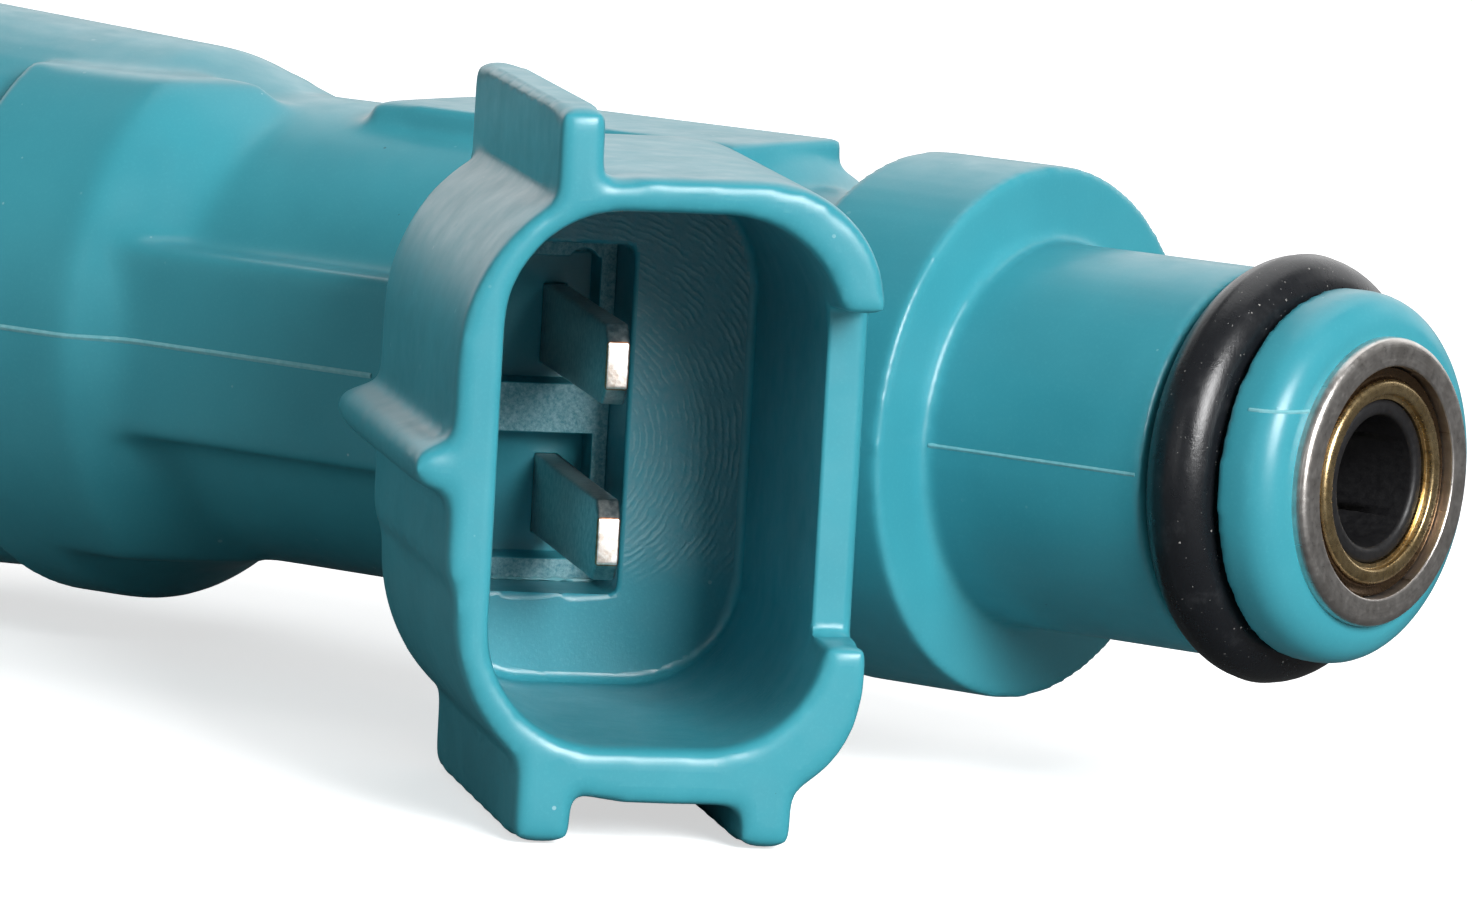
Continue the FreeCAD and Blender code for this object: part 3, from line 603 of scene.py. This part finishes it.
def flat_shading(obj):
    """Large faces that lie square to the connector are shaded dead flat."""
    mesh = obj.data
    least_cosine, least_area = math.cos(math.radians(2)), (0.15 * MM) ** 2
    normals = [corner.vector.copy() for corner in mesh.corner_normals]
    for face in mesh.polygons:
        for axis in (OUT, UP, ACROSS):
            if abs(face.normal.dot(axis)) > least_cosine and face.area > least_area:
                square = axis * math.copysign(1, face.normal.dot(axis))
                for corner in face.loop_indices:
                    normals[corner] = square
    mesh.normals_split_custom_set(normals)


# How many passes each stretch of the surface is given; more passes round it off more.
EVEN_OUT = [(5, everywhere)]
ROUND_OFF = [(14, rim), (12, left_side), (30, blended_pads), (20, bell_rear)]


def moulding():
    """The housing with the soft edges of a moulded part, and its inside cut true afterwards."""
    obj = copy_of("moulded_housing", "housing")
    boolean(obj, "UNION", barrel_space("filling", LIP_FRONT, HOUSING_END, 0.05, lead_room=6.4))
    modified(obj, "REMESH", mode="VOXEL", voxel_size=VOXEL * MM)
    soften(obj, EVEN_OUT)
    settle(obj, frame["nodes"]["moulded_housing"])
    soften(obj, ROUND_OFF)
    modified(obj, "DECIMATE", ratio=FACES_WANTED / (2 * len(obj.data.polygons)))
    boolean(obj, "DIFFERENCE", barrel_space("space", LIP_FRONT - 1, HOUSING_END + 1, 0.0))
    return smooth(obj)


def socket_outline(behind, inset=0.0, steps=14):
    """Points round the socket's wall, in order, at one depth behind the mouth."""
    points = []
    left, right, high = -SOCKET_LEFT + inset, SOCKET_RIGHT - inset, SOCKET_HALF_HEIGHT - inset
    radius = SOCKET_ROUND - inset
    middles = [(right - radius, high - radius), (left + radius, high - radius),
               (left + radius, radius - high), (right - radius, radius - high)]
    for quarter, (across, up) in enumerate(middles):
        for i in range(steps + 1):
            turn = math.pi / 2 * (quarter + i / steps)
            points.append(Vector((across + radius * math.cos(turn), up + radius * math.sin(turn))))
    points.append(points[0])
    dense = []
    for a, b in zip(points, points[1:]):
        pieces = max(1, round((b - a).length / 0.22))
        dense += [a.lerp(b, k / pieces) for k in range(pieces)]
    return [connector_point(p.x, p.y, behind) for p in dense]


def side_rays(first, last, from_y):
    """Rays along Y towards the axis, from one depth to another."""
    towards = Vector((0, -math.copysign(1, from_y), 0))
    count = round((last - first) / 0.3)
    depths = [first + (last - first) * i / count for i in range(count + 1)]
    return [(Vector((-depth, from_y, 0)) * MM, towards) for depth in depths]


def lip_rays():
    """Rays in towards the lip's rounded edge, on the connector's side."""
    middle = Vector((-1.4, -3.4, 2.1)) * MM
    rays = []
    for i in range(25):
        turn = math.radians(4 * i - 4)
        out = Vector((math.sin(turn), -math.cos(turn), 0))
        rays.append((middle + out * 4 * MM, -out))
    return rays


def parting_lines(tree):
    """The mould's parting lines on both sides, and the flash in the socket."""
    seams = [ridge("neck_seam", tree, side_rays(4.6, 11.5, -8.0), 0.16, 0.035),
             ridge("lip_seam", tree, lip_rays(), 0.14, 0.03),
             ridge("collar_seam", tree, side_rays(29.5, 53.8, -12.0), 0.22, 0.05)]
    for first, last in ((0.5, 2.05), (4.6, 11.6), (11.8, 16.1), (16.3, 19.8), (21.0, 53.8)):
        seams.append(ridge("far_seam", tree, side_rays(first, last, 12.0), 0.18, 0.02))
    seams.append(flash("socket_flash", socket_outline(SOCKET_DEPTH - 0.02, 0.03), 0.008, 0.045, 5))
    ledge = [connector_point(-2.9 + 0.11 * i, -4.58, CARRIER_FACE - 0.04) for i in range(36)]
    seams.append(flash("ledge_flash", ledge, 0.02, 0.09, 8))
    return seams


def on_socket_floor(centre, normal):
    behind = connector_places(np.array([centre]))[2][0]
    return abs(behind - SOCKET_DEPTH) < 0.12 and normal.dot(OUT) > 0.95


def on_low_wall(centre, normal):
    across, up, behind = (place[0] for place in connector_places(np.array([centre])))
    return 1 < behind < SOCKET_DEPTH and up < -5.5 and normal.z > 0.6 and abs(across) < SOCKET_LEFT


def housing():
    obj = moulding()
    seams = parting_lines(BVHTree.FromObject(obj, bpy.context.evaluated_depsgraph_get()))
    moulded_count = len(obj.data.polygons)
    joined(obj, seams)
    modified(obj, "WEIGHTED_NORMAL", keep_sharp=True)
    flat_shading(obj)
    add_piece(obj, "teal_plastic", "moulded_housing",
              materials=(MATERIALS["teal_plastic"], TOOLED, PITTED, PALE))
    tooled, pitted, pale = 1, 2, 3
    for face in obj.data.polygons[moulded_count:]:
        face.material_index = pale
    for face in obj.data.polygons[:moulded_count]:
        if on_socket_floor(face.center, face.normal):
            face.material_index = tooled
        if on_low_wall(face.center, face.normal):
            face.material_index = pitted


housing()


# ---- terminals -----------------------------------------------------------------------------------

def carrier():
    """The insert behind the socket, with the rounded bite out of its upper pocket's edge."""
    obj = copy_of("terminal_carrier", "terminal_insert", whole_faces=True)
    bite = bpy.data.objects.new("bite", bpy.data.meshes.new("bite"))
    bpy.context.scene.collection.objects.link(bite)
    shape = bmesh.new()
    radius, length = 0.42 * MM, 2.2 * MM
    bmesh.ops.create_cone(shape, cap_ends=True, segments=32, radius1=radius, radius2=radius, depth=length)
    turn = OUT.to_track_quat("Z", "Y").to_matrix().to_4x4()
    place = Matrix.Translation(connector_point(0.22, 4.2, 14.75))
    bmesh.ops.transform(shape, matrix=place @ turn, verts=shape.verts)
    shape.to_mesh(bite.data)
    shape.free()
    boolean(obj, "DIFFERENCE", bite)
    modified(obj, "BEVEL", width=0.05 * MM, segments=3, limit_method="ANGLE", angle_limit=math.radians(40),
             use_clamp_overlap=False)
    add_piece(smooth(obj), "teal_plastic", "terminal_carrier", materials=(MATERIALS["teal_plastic"], SAWN))
    sawn = 1
    paint(obj, sawn, lambda centre, normal: normal.dot(OUT) > 0.8
          and connector_places(np.array([centre]))[2][0] < CARRIER_FACE + 0.1)


def blade(node, name):
    """A tinned blade, sheared off at its tip, where the copper shows round a bright face."""
    obj = copy_of(node, name, whole_faces=True)
    modified(obj, "BEVEL", width=0.08 * MM, segments=3, limit_method="ANGLE", angle_limit=math.radians(30),
             use_clamp_overlap=False)
    add_piece(smooth(obj), "tinned_terminal", node,
              materials=(MATERIALS["tinned_terminal"], SHEARED_TIP, BARE_COPPER))
    tip = min(connector_places(np.array([v.co for v in obj.data.vertices]))[2])
    sheared, copper = 1, 2
    paint(obj, copper, lambda centre, normal: connector_places(np.array([centre]))[2][0] < tip + 0.10)
    paint(obj, sheared, lambda centre, normal: connector_places(np.array([centre]))[2][0] < tip + 0.03
          and normal.dot(OUT) > 0.9)


carrier()
blade("terminal_blade_upper", "upper_blade")
blade("terminal_blade_lower", "lower_blade")


# ---- inlet ---------------------------------------------------------------------------------------

def inlet():
    _, tube_end, collar = span("inlet_tube")
    tube = span("fixed_core")[2]
    seat, bore, sleeve = 3.12, 2.55, 2.38
    obj = lathe("inlet_steel", [
        (0, seat + 0.05, 0.08), (0, collar, 0.26), (TUBE_COLLAR_END, collar, 0.05),
        (TUBE_CONE_END, tube, 0.1), (tube_end, tube, 0), (tube_end, bore, 0), (1.3, bore, 0),
        (1.3, seat + 0.05, 0)])
    add_piece(obj, "inlet_steel", "inlet_tube")
    _, ring_end, ring = span("filter_ring")
    cup_front, _, cup = span("filter_basket")
    obj = lathe("brass_ring", [
        (0.13, sleeve, 0.12), (0.13, 2.76, 0.18), (0.42, 2.84, 0.12), (0.30, ring, 0.04), (1.3, ring, 0),
        (1.3, bore, 0), (ring_end, bore, 0), (ring_end, cup, 0), (cup_front, cup, 0),
        (cup_front, sleeve, 0.04)])
    add_piece(obj, "filter_brass", "filter_ring")
    obj = copy_of("filter_basket", "filter_cage", whole_faces=True)
    modified(obj, "BEVEL", width=0.16 * MM, segments=4, limit_method="ANGLE", angle_limit=math.radians(50),
             use_clamp_overlap=False)
    add_piece(smooth(obj, 30), "black_nylon", "filter_basket")


def rubber_ring(node, name):
    """An O-ring with the faint line its mould leaves round the outside."""
    front, back, outer = span(node)
    section = (back - front) / 2
    middle, major = (front + back) / 2, outer - section
    corners = []
    for i in range(48):
        turn = 2 * math.pi * i / 48
        line = 0.02 if abs(math.sin(turn)) < 0.05 and math.cos(turn) > 0 else 0.0
        reach = section - 0.02 + line
        corners.append((middle + section * math.sin(turn), major + reach * math.cos(turn), 0))
    add_piece(lathe(name, corners, segments=192), "black_rubber", node)


inlet()
rubber_ring("inlet_oring", "inlet_seal")


# ---- nozzle end ----------------------------------------------------------------------------------

def nozzle_end():
    front, yoke_end, yoke = span("magnet_yoke")
    add_piece(lathe("yoke", [
        (front, 6.5, 0), (front, yoke, 0.1), (55.2, yoke, 0.15), (55.35, yoke - 0.15, 0.1),
        (55.75, yoke - 0.15, 0.1), (55.9, yoke, 0.15), (yoke_end, yoke, 0.45), (yoke_end, 6.5, 0.05)]),
        "plated_yoke", "magnet_yoke")
    body_front, body_end, _ = span("valve_body")
    add_piece(lathe("valve_housing", [
        (body_front, 3.42, 0), (body_front, 6.45, 0.05), (yoke_end, 6.45, 0.05), (yoke_end, 3.9, 0.05),
        (body_end, 3.9, 0.2), (body_end, 2.3, 0.1), (66.75, 2.3, 0), (66.75, 2.6, 0), (63.5, 2.6, 0),
        (63.5, 2.3, 0), (55.5, 2.3, 0), (55.5, 3.42, 0)]), "stainless_steel", "valve_body")
    front, end, radius = span("seal_backup_ring")
    add_piece(lathe("backup_ring", [
        (front, 3.9, 0), (front, radius, 0.25), (end, radius, 0.25), (end, 3.9, 0)]),
        "black_nylon", "seal_backup_ring")
    front, end, radius = span("nozzle_cap")
    add_piece(lathe("cap", [
        (front, 3.9, 0.05), (front, radius, 0.35), (end, radius, 0.9), (end, 2.4, 0.3), (67.05, 2.2, 0.08),
        (67.05, 3.9, 0)]), "black_nylon", "nozzle_cap")


nozzle_end()
rubber_ring("lower_oring", "lower_seal")


# ---- floor, light and camera ---------------------------------------------------------------------

FLOOR_Z = -9.7
AIM = Vector((-13.976, -10.758, -0.235)) * MM
CAMERA_AZIMUTH, CAMERA_ELEVATION, CAMERA_ROLL = -52.5, 6.784, 3.232
CAMERA_DISTANCE, CAMERA_LENS = 280.0, 253.2
SEEN_WHITE, FILL = 1.0, 0.17


def direction(azimuth, elevation):
    """Unit vector; azimuth 0 is +X and 90 is +Y, both in degrees."""
    a, e = math.radians(azimuth), math.radians(elevation)
    return Vector((math.cos(a) * math.cos(e), math.sin(a) * math.cos(e), math.sin(e)))


def looking(towards_viewer, roll=0.0):
    """Rotation of something at the viewer's side that looks back along the direction."""
    turn = towards_viewer.to_track_quat("Z", "Y").to_matrix()
    return (turn @ Matrix.Rotation(math.radians(roll), 3, "Z")).to_4x4()


def add_camera():
    camera = bpy.data.objects.new("camera", bpy.data.cameras.new("camera"))
    out = direction(CAMERA_AZIMUTH, CAMERA_ELEVATION)
    camera.matrix_world = Matrix.Translation(AIM + out * CAMERA_DISTANCE * MM) @ looking(out, CAMERA_ROLL)
    camera.data.lens = CAMERA_LENS
    camera.data.sensor_width = 36.0
    camera.data.clip_start, camera.data.clip_end = 0.01, 10.0
    bpy.context.scene.collection.objects.link(camera)
    bpy.context.scene.camera = camera


def add_light(name, azimuth, elevation, distance_mm, size_mm, watts, diffuse=True, glossy=True):
    light = bpy.data.lights.new(name, "AREA")
    light.shape = "RECTANGLE"
    light.size, light.size_y = size_mm[0] * MM, size_mm[1] * MM
    light.energy = watts
    obj = bpy.data.objects.new(name, light)
    out = direction(azimuth, elevation)
    obj.matrix_world = Matrix.Translation(AIM + out * distance_mm * MM) @ looking(out)
    obj.visible_diffuse, obj.visible_glossy = diffuse, glossy
    bpy.context.scene.collection.objects.link(obj)


def by_ray(tree, kind, otherwise, seen):
    """A number that is one thing to the camera's or the glossy rays and another to the rest."""
    path = tree.nodes.new("ShaderNodeLightPath")
    value = tree.nodes.new("ShaderNodeMapRange")
    value.inputs["To Min"].default_value, value.inputs["To Max"].default_value = otherwise, seen
    tree.links.new(path.outputs[f"Is {kind} Ray"], value.inputs["Value"])
    return value.outputs["Result"]


def add_floor():
    half = 4.0
    floor = new_object("floor", [(-half, -half, FLOOR_Z * MM), (half, -half, FLOOR_Z * MM),
                                 (half, half, FLOOR_Z * MM), (-half, half, FLOOR_Z * MM)], [(0, 1, 2, 3)])
    s = Shader("floor")
    bounce = s.mix(by_ray(s.tree, "Glossy", 0.0, 1.0), rgba(0.42, 0.42, 0.42), rgba(0.06, 0.06, 0.06))
    colour = s.mix(by_ray(s.tree, "Camera", 0.0, 1.0), bounce, rgba(0.95, 0.95, 0.95))
    s.set(Base_Color=colour, Roughness=0.9, Emission_Color=rgba(1, 1, 1),
          Emission_Strength=by_ray(s.tree, "Camera", 0.0, 0.60))
    floor.data.materials.append(s.material)


def add_world():
    world = bpy.data.worlds.new("studio")
    world.use_nodes = True
    tree = world.node_tree
    background = tree.nodes["Background"]
    background.inputs["Color"].default_value = rgba(1.0, 1.0, 1.0)
    tree.links.new(by_ray(tree, "Camera", FILL, SEEN_WHITE), background.inputs["Strength"])
    bpy.context.scene.world = world


add_camera()
add_floor()
add_world()
add_light("key", -22, 24, 500, (220, 220), 3.9)
add_light("overhead", 110, 66, 500, (400, 400), 0.65)
add_light("left_fill", -118, 12, 500, (300, 300), 0.5, glossy=False)
add_light("backdrop", 122, 25, 600, (1500, 420), 2.5, diffuse=False)
add_light("left_box", -86, 14, 500, (90, 260), 0.10, diffuse=False)
bpy.context.scene.view_settings.view_transform = "Standard"
